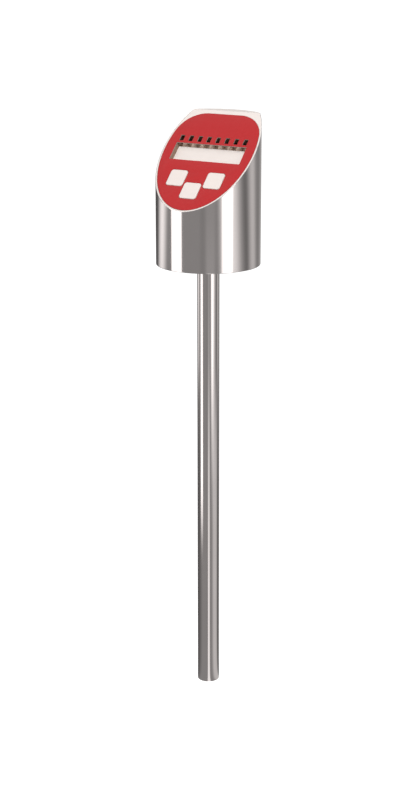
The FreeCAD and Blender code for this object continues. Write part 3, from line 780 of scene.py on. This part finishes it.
red_plate = sheet_with_openings(
    "red_plate", plate_outline, [window] + slots + key_holes, 0, plate_t, PLATE_EDGE)
show(red_plate, "red_coating", "front_plate")
bezel_wall = sheet_with_openings(
    "bezel_wall", recess_outline, [aperture] + key_holes, plate_t, BEZEL_WALL, PLATE_EDGE)
show(bezel_wall, "white_plastic", "front_bezel")

# %% [markdown]
# Three bosses behind the wall take the screws that hold the display's board. They show only when
# the head is opened and could be left out, but the moulding isn't whole without them. Each is a
# round peg with a pilot hole for its screw, so it is rings again, and the screws in the frame say
# where they stand.

# %% The screw bosses
BOSS_R = 2.3 * MM
PILOT_R, PILOT_DEPTH = 1.0 * MM, 5.0 * MM
SCREW_HEAD_R = 1.8 * MM
board_depth = -panel_box("display_board")[1][2]
pilot_end = board_depth - PILOT_DEPTH
screws_low, screws_high = panel_box("bezel_screws")
upper_x, upper_v = screws_high[:2] - SCREW_HEAD_R
lower_v = screws_low[1] + SCREW_HEAD_R


def panel_ring(radius, x, v, depth):
    """Circle in the panel with as many points as a rounded box has."""
    turns = [2 * math.pi * (i + 0.5) / LOOP_POINTS for i in range(LOOP_POINTS)]
    return [on_panel(x + radius * math.cos(t), v + radius * math.sin(t), depth) for t in turns]


for i, (x, v) in enumerate(((0, lower_v), (-upper_x, upper_v), (upper_x, upper_v))):
    boss = [panel_ring(radius, x, v, depth) for radius, depth in (
        (BOSS_R, BEZEL_WALL), (BOSS_R, board_depth), (PILOT_R, board_depth), (PILOT_R, pilot_end))]
    show(skin(f"bezel_boss_{i + 1}", boss), "white_plastic", "front_bezel")

# %% [markdown]
# ## The keys
# Each key is a hollow moulded cap with rounded corners, a rounded edge and a face that is very
# slightly crowned, so that the light falls off across it. A cube with a bevel has neither crown nor
# hollow. Rings of the same rounded square step down the hollow, up the side, over the edge and in
# to the middle, and they start as circles round the stem that pushes the switch. Two tabs behind
# the wall keep the cap in, and are joined on by a Boolean. Each cap rides on its own body.

# %% Key caps
KEY_EDGE = 0.25 * MM
KEY_CROWN = 0.06 * MM
KEY_SKIRT = 2.0 * MM       # panel's face to the cap's lower edge
KEY_WALL = 1.2 * MM
KEY_STEM_R = 1.9 * MM
HOLLOW_CORNER = 0.1 * MM
TAB_W, TAB_T, TAB_REACH = 4.0 * MM, 0.7 * MM, 0.8 * MM
TAB_ROOT = 0.6 * MM        # end of a tab inside the cap's wall
CROWN_STEPS = (0.8, 0.6, 0.4, 0.2, 0.05)


def block(name, loop, front, back):
    """Mesh with an outline in the panel, between two depths."""
    return skin(name, [[on_panel(x, v, depth) for x, v in loop] for depth in (front, back)])


for side, (low, high) in keys.items():
    width, height = (high - low)[:2]
    x, v = ((high + low) / 2)[:2]
    edge_top = high[2] - KEY_CROWN
    ceiling = high[2] - KEY_WALL
    stem_end = panel_box(f"key_{side}")[0][2]

    def cap_ring(inset, out, share=1.0):
        corner = max(KEY_CORNER - inset, HOLLOW_CORNER)
        loop = rounded_box(width - 2 * inset, height - 2 * inset, 0, 0, corner)
        return [on_panel(x + share * px, v + share * pv, -out) for px, pv in loop]

    cap = [panel_ring(KEY_STEM_R, x, v, -stem_end), panel_ring(KEY_STEM_R, x, v, -ceiling)]
    cap += [cap_ring(KEY_WALL, ceiling), cap_ring(KEY_WALL, -KEY_SKIRT), cap_ring(0, -KEY_SKIRT)]
    cap += [cap_ring(0, edge_top - KEY_EDGE - STRAIGHT)]
    cap += [cap_ring(KEY_EDGE * (1 - math.cos(a)), edge_top - KEY_EDGE * (1 - math.sin(a)))
            for a in ARC]
    cap += [cap_ring(KEY_EDGE, edge_top + KEY_CROWN * (1 - share ** 2), share)
            for share in CROWN_STEPS]
    key_cap = show(skin(f"key_cap_{side}", cap), "key_plastic", f"key_{side}", f"{side}_key")
    for way in (-1, 1):
        tab_v = v + way * (height + TAB_REACH - TAB_ROOT) / 2
        tab_loop = rounded_box(TAB_W, TAB_REACH + TAB_ROOT, x, tab_v, HOLLOW_CORNER)
        combine(key_cap, block("tab", tab_loop, KEY_SKIRT - TAB_T, KEY_SKIRT), "UNION")

# %% [markdown]
# ## The indicators
# Behind each slot stands a round-topped indicator of milky resin. Its dome shows at the window's
# upper edge, where the flat facets of a coarse ball would catch the eye, so each one is turned
# afresh from its outline: a flange on the board, a straight body and half a ball. The frame gives
# the row's place, its height and the flange.

# %% Indicators
LED_R = 1.45 * MM
LED_FLANGE_T = 0.6 * MM
DOME = np.radians(range(0, 88, 6))
row_low, row_high = panel_box("indicator_leds")
led_v = (row_low[1] + row_high[1]) / 2
led_flange_r = (row_high[1] - row_low[1]) / 2
flange_depth = board_depth - LED_FLANGE_T
dome_depth = LED_R - row_high[2]
led_outline = [(led_flange_r, board_depth), (led_flange_r, flange_depth), (LED_R, flange_depth)]
led_outline += [(LED_R * math.cos(a), dome_depth - LED_R * math.sin(a)) for a in DOME]
for i, x in enumerate(slot_xs):
    led_rings = [panel_ring(radius, x, led_v, depth) for radius, depth in led_outline]
    show(skin(f"indicator_{i + 1}", led_rings), "indicator_lens", "indicator_leds")

# %% [markdown]
# A brown bar holds the indicators in line, and shows between their domes, where its brown is partly
# painted shade. A plain block behind them would do for the eye, but the indicators would stick
# through it. So it is one more sheet with openings: a thick one, with a round hole for each indicator,
# that starts level with the foot of the domes. A thin ear at each end, joined on by a Boolean, stands
# up to the plate and closes the window's upper corner.

# %% The indicators' holder
HOLDER_GAP, HOLDER_H = 0.05 * MM, 4.4 * MM
HOLE_ROUND = 0.49          # share of a hole's width that each corner takes: a circle, nearly
EAR_T, EAR_H, EAR_ROOT = 0.1 * MM, 1.6 * MM, 0.5 * MM
EAR_CORNER = 0.03 * MM
EAR_GAP, EAR_LIFT = 0.075 * MM, 0.1 * MM    # to the window's side and from its top
hole_d = 2 * (LED_R + HOLDER_GAP)
holder_v = window_top + HOLDER_GAP + HOLDER_H / 2
holder = opening(window_w - 2 * HOLDER_GAP, HOLDER_H, 0, holder_v, CUT_CORNER)
led_holes = [opening(hole_d, hole_d, x, led_v, HOLE_ROUND * hole_d) for x in slot_xs]
holder_mesh = sheet_with_openings(
    "indicator_holder", holder, led_holes, dome_depth, flange_depth, PLATE_EDGE)
# the bar's brown is partly painted shade where it shows between the domes
holder_bar = show(holder_mesh, "brown_foam")
ear_x = window_w / 2 - EAR_GAP - EAR_T / 2
ear_v = window_top + EAR_LIFT + EAR_H / 2
for way in (-1, 1):
    ear_loop = rounded_box(EAR_T, EAR_H, way * ear_x, ear_v, EAR_CORNER)
    ear = block("ear", ear_loop, plate_t + HOLDER_GAP, dome_depth + EAR_ROOT)
    combine(holder_bar, ear, "UNION")

# %% [markdown]
# ## The connector's thread
# The plug's nut screws onto a fine thread. A tooth could be swept along a helix, but its ends then
# need trimming. On a helix the radius at a point depends only on how far along the axis it is, less
# a pitch for each turn round it, so a grid of rings can carry the thread with no sweep: each point
# is pulled in by a flat-topped tooth form of that phase. The thread runs out before the collar and
# the mouth.

# %% The thread's form
PITCH = 1.0 * MM
TOOTH = 0.5 * MM           # depth of the thread
PLAIN = 0.3 * MM           # next to the collar, with no thread
RUN_OUT = 1.2 * MM         # after it, over which the thread grows
LEAD_IN = 0.6 * MM         # over which it fades out at the mouth
GROOVE_W, FLANK = 1.5, 3.0    # width and steepness of the groove in the tooth form
thread = frame["record"]["mounts"][1]
thread_r = thread["dims"]["r_mm"] * MM
thread_start = thread["pos_m"][1]
thread_end = thread_start + thread["dims"]["length_mm"] * MM


def thread_ring(y):
    """Points round the connector's axis, pulled in where the groove passes."""
    grown = np.clip((y - thread_start - PLAIN) / RUN_OUT, 0, 1)
    left = np.clip((thread_end - y) / LEAD_IN, 0, 1)
    points = []
    for i, t in enumerate(REAR_TURNS):
        phase = (y / PITCH - i / REAR_STEPS) % 1
        groove = np.clip(GROOVE_W - FLANK * abs(2 * phase - 1), 0, 1)
        radius = thread_r - TOOTH * grown * left * groove
        points.append((radius * math.cos(t), y, port_z + radius * math.sin(t)))
    return points


print(f"thread: {2 * thread_r / MM:.0f} mm, pitch {PITCH / MM} mm")

# %% [markdown]
# The shell round it is turned: a collar at the wall of the tube, the thread, a bevelled mouth, and
# a bore with a shoulder that the insert stops against. One loop of rings holds all of it, so the
# thread needs no joining on.

# %% The threaded shell
THREAD_STEPS = 14          # rings in each turn of the thread
SHELL_WALL = 1.15 * MM
COLLAR_EDGE = 0.4 * MM
MOUTH_EDGE = 0.6 * MM
MOUTH_DEPTH = 8.5 * MM
SEAT_STEP = 0.4 * MM       # shoulder that the insert stops against
mouth_r = thread_r - SHELL_WALL
seat_r = mouth_r + SEAT_STEP
insert_face = shell_high.y - MOUTH_DEPTH
collar = [(collar_r, shell_low.y), (collar_r, thread_start - COLLAR_EDGE),
          (collar_r - COLLAR_EDGE, thread_start)]
mouth = [(thread_r, thread_end), (thread_r - MOUTH_EDGE, shell_high.y), (mouth_r, shell_high.y),
         (mouth_r, insert_face), (seat_r, insert_face), (seat_r, shell_low.y)]
shell = [rear_ring(radius, y) for radius, y in collar]
shell += [thread_ring(y) for y in np.arange(thread_start, thread_end, PITCH / THREAD_STEPS)]
shell += [rear_ring(radius, y) for radius, y in mouth]
show(skin("threaded_shell", shell, looped=True), "polished_steel", "connector_shell")

# %% [markdown]
# ## World and floor
# The product stands in a white studio. More light could make the background white, but it would
# bleach the object too. So the floor and the world are white only to rays that look, straight or in
# a mirror, and light the object as a plain soft sky.

# %% The world
SKY = 0.50
WHITE = rgb(1, 1, 1)


def seen_directly(make):
    """1 for rays that look, straight or by mirror or glass, and 0 for those that gather light."""
    camera, glossy, through = (make.node("ShaderNodeLightPath", {}, {}, f"Is {word} Ray")
                               for word in ("Camera", "Glossy", "Transmission"))
    return make.node("ShaderNodeMath", {"operation": "ADD", "use_clamp": True},
                     {0: camera + glossy, 1: through})


world = bpy.data.worlds.new("studio")
bpy.context.scene.world = world
make = NodeMaker(world)
light = make.node("ShaderNodeBackground", {}, {"Color": WHITE, "Strength": SKY})
white = make.node("ShaderNodeBackground", {}, {"Color": WHITE, "Strength": 1.0})
both = make.node("ShaderNodeMixShader", {}, {0: seen_directly(make), 1: light, 2: white})
make.node("ShaderNodeOutputWorld", {}, {"Surface": both})
print("world: white, lights at", SKY)

# %% [markdown]
# The floor is a sheet of white paper under the probe's tip. A camera sees it glow a little beside
# the light that falls on it, which makes it as white as the world and keeps the object's shadow.

# %% The floor
FLOOR_SIZE = 30.0
PAPER_FIBRE = 40.0
PAPER_GLOW = 0.72
PAPER_SHADES = rgb(0.80, 0.80, 0.80), rgb(0.82, 0.82, 0.82)
paper, make = new_finish("white_paper")
paper_shade = make.mix(make.noise(make.place(), scale=PAPER_FIBRE), *PAPER_SHADES)
lit = make.node("ShaderNodeBsdfDiffuse", {}, {"Color": paper_shade})
glow = make.node("ShaderNodeEmission", {}, {"Color": WHITE, "Strength": PAPER_GLOW})
bright = make.node("ShaderNodeAddShader", {}, {0: lit, 1: glow})
both = make.node("ShaderNodeMixShader", {}, {0: seen_directly(make), 1: lit, 2: bright})
make.node("ShaderNodeOutputMaterial", {}, {"Surface": both})
half = FLOOR_SIZE / 2
floor_mesh = bpy.data.meshes.new("floor")
floor_mesh.from_pydata([(x * half, y * half, tip) for x, y in QUARTERS], [], [(0, 1, 2, 3)])
floor_mesh.materials.append(paper)
floor = add_object("floor", floor_mesh)
print("floor at", round(tip / MM, 1), "mm")

# %% [markdown]
# ## What the steel mirrors
# Polished metal in a white room would be white all over. So, as in any photograph of metal, a grey
# screen stands round it, with strip lights and shades on it. They could be a dozen lamps and cards,
# each with its own place. One bowl that only mirrors see is simpler, and it leaves the light on the
# red and white pieces alone. A strip has a place round the object, counted from the camera, a width
# and a soft edge. It fades in or out on the way along the bowl's floor and up its wall, and it may
# lean.

# %% The strips
VIEW_TURN = 30.99          # the camera's place round the object, degrees
STRIPS = (
    # name; middle, half width and soft edge in degrees from the camera; where it fades in along
    # the bowl, in metres; brightness; lean in degrees for each metre further up
    ("left strip light", -72.9, 13.7, 2.0, (0.15, 0.30), 1.0, 0),
    ("right strip light", 41.2, 12.2, 6.0, (0.20, 0.80), 0.8, 0),
    ("glow on its left", 27, 4.5, 9.0, (0.35, 0.65), 0.10, 0),
    ("glow on its right", 52, 18, 28.0, (0.20, 0.80), 0.52, -80),
    ("glow on the table", 72, 26, 30.0, (0.64, 0.30), 0.25, 0),
    ("light before the camera", 4.5, 9, 8.0, (0.85, 0.0), 0.60, 0),
    ("shade before the camera", -12.5, 4, 10.0, (0.0, 0.10), -0.025, 0),
    ("far left light", -121.8, 12, 24.0, (0.45, 0.74), 0.63, 95),
    ("far right light", 113.3, 10, 18.0, (0.45, 0.74), 0.235, -70),
    ("left edge shade", -158, 14, 20.0, (0.0, 0.10), -0.15, 95),
    ("right edge light", 168, 16, 26.0, (0.45, 0.70), 0.085, 0),
    ("right edge shade", 138, 6, 12.0, (0.45, 0.70), -0.035, -30),
    ("left shade on the table", -120, 35, 60.0, (0.70, 0.25), -0.12, 0),
    ("right shade", 91.2, 4, 16.0, (0.30, 0.62), -0.08, -95),
    ("right shade on the table", 120, 12, 24.0, (0.66, 0.25), -0.15, 0),
)
print("screen:", len(STRIPS), "strips and shades")

# %% [markdown]
# The bowl's finish adds the strips up. They could be painted on a picture, but each is no more than
# the product of two soft steps, one round the bowl and one along it, so the whole pattern stays a
# formula.

# %% The screen's finish
SCREEN_GREY = 0.215
SCREEN_TINT = tuple(c / STEEL_SHADE[0] for c in (1.0, 0.948, 0.936))
LEAN_FROM = 0.68           # way along the bowl where the strips start to lean
screen_finish, make = new_finish("grey_screen")
turn = make.math("ARCTAN2", make.along("X"), 0 - make.along("Y"))
out = make.from_axis() + make.along("Z") - tip
further_up = make.math("MAXIMUM", out - LEAN_FROM, 0.0)
level = SCREEN_GREY
for name, middle, half_width, soft, (fade_from, fade_to), brightness, lean in STRIPS:
    from_middle = turn - math.radians(VIEW_TURN + middle) - math.radians(lean) * further_up
    aside = make.math("ABSOLUTE", make.math("WRAP", from_middle, -math.pi, math.pi))
    inner, outer = max(half_width - soft / 2, 0), half_width + soft / 2
    beside = make.step(aside, math.radians(inner), math.radians(outer))
    fade = make.step(out, *sorted((fade_from, fade_to)))
    level = level + brightness * (1 - beside) * (fade if fade_to > fade_from else 1 - fade)
mirrored = make.node("ShaderNodeVectorMath", {"operation": "SCALE"},
                     {0: SCREEN_TINT, "Scale": level})
shine = make.node("ShaderNodeEmission", {}, {"Color": mirrored})
make.node("ShaderNodeOutputMaterial", {}, {"Surface": shine})
print("screen's finish:", len(make.tree.nodes), "nodes")

# %% [markdown]
# The bowl itself is three rings about the probe's axis: a hole under the tip, the corner between
# floor and wall, and the upper edge. It is hidden from every ray but those of a mirror.

# %% The bowl
SCREEN_R, SCREEN_H = 0.6, 0.7
SCREEN_HOLE = 0.5 * MM     # in the middle of the bowl's floor
SCREEN_LIFT = 0.3 * MM     # from the paper to the bowl
bowl_floor = tip + SCREEN_LIFT
bowl_profile = ((SCREEN_HOLE, bowl_floor), (SCREEN_R, bowl_floor), (SCREEN_R, tip + SCREEN_H))
bowl = skin("grey_screen", [ring(radius, z) for radius, z in bowl_profile], capped=False)
bowl.materials.append(screen_finish)
screen = add_object("grey_screen", bowl)
for rays in ("camera", "diffuse", "transmission", "volume_scatter", "shadow"):
    setattr(screen, f"visible_{rays}", False)
print("bowl:", SCREEN_R, "m out and", SCREEN_H, "m high")

# %% [markdown]
# ## The lamp
# A few small lamps would draw sharp shadows beside the keys, so one large soft lamp above the
# camera lights the panel. It is kept out of the mirrors, which the screen serves.

# %% The lamp
LAMP_ASIDE, LAMP_RISE = -6, 44    # degrees from the camera, and up
LAMP_AWAY, LAMP_SIZE, LAMP_WATTS = 1.0, 0.6, 5.4
lamp = add_object("key_lamp", bpy.data.lights.new("key_lamp", "AREA"))
lamp.data.size = LAMP_SIZE
lamp.data.energy = LAMP_WATTS
t, rise = math.radians(VIEW_TURN + LAMP_ASIDE), math.radians(LAMP_RISE)
to_lamp = Vector((math.sin(t) * math.cos(rise), -math.cos(t) * math.cos(rise), math.sin(rise)))
lamp.location = to_lamp * LAMP_AWAY + Vector((0, 0, head_h / 2))
lamp.rotation_euler = to_lamp.to_track_quat("Z", "Y").to_euler()
lamp.visible_glossy = False
lamp.visible_camera = False
print("lamp:", LAMP_WATTS, "W, above the camera")

# %% [markdown]
# ## The camera
# The picture is taken from the front right, a little above the head, with a long lens. The view
# could be set by eye, but the head's ellipse, its lower edge and the probe's two sides in the
# photograph fix it: focal length and place come from a fit to them.

# %% The camera
PICTURE = (419, 800)       # pixels
FOCAL_PIXELS = 1699.34
SENSOR = 36.0              # mm
CAMERA_AWAY, CAMERA_ASIDE, CAMERA_UP = 739.83 * MM, 0.51 * MM, 149.54 * MM
LOOK_DOWN = math.radians(16.02)
FARTHEST = 100             # metres
camera = add_object("camera", bpy.data.cameras.new("camera"))
camera.data.sensor_width = SENSOR
camera.data.lens = FOCAL_PIXELS * SENSOR / max(PICTURE)
camera.data.clip_end = FARTHEST
t = math.radians(VIEW_TURN)
camera.location = (math.sin(t) * CAMERA_AWAY + math.cos(t) * CAMERA_ASIDE,
                   -math.cos(t) * CAMERA_AWAY + math.sin(t) * CAMERA_ASIDE, CAMERA_UP)
camera.rotation_euler = (math.pi / 2 - LOOK_DOWN, 0, t)
bpy.context.scene.camera = camera
bpy.context.scene.view_settings.view_transform = "Standard"
print(f"camera: {camera.data.lens:.2f} mm lens")
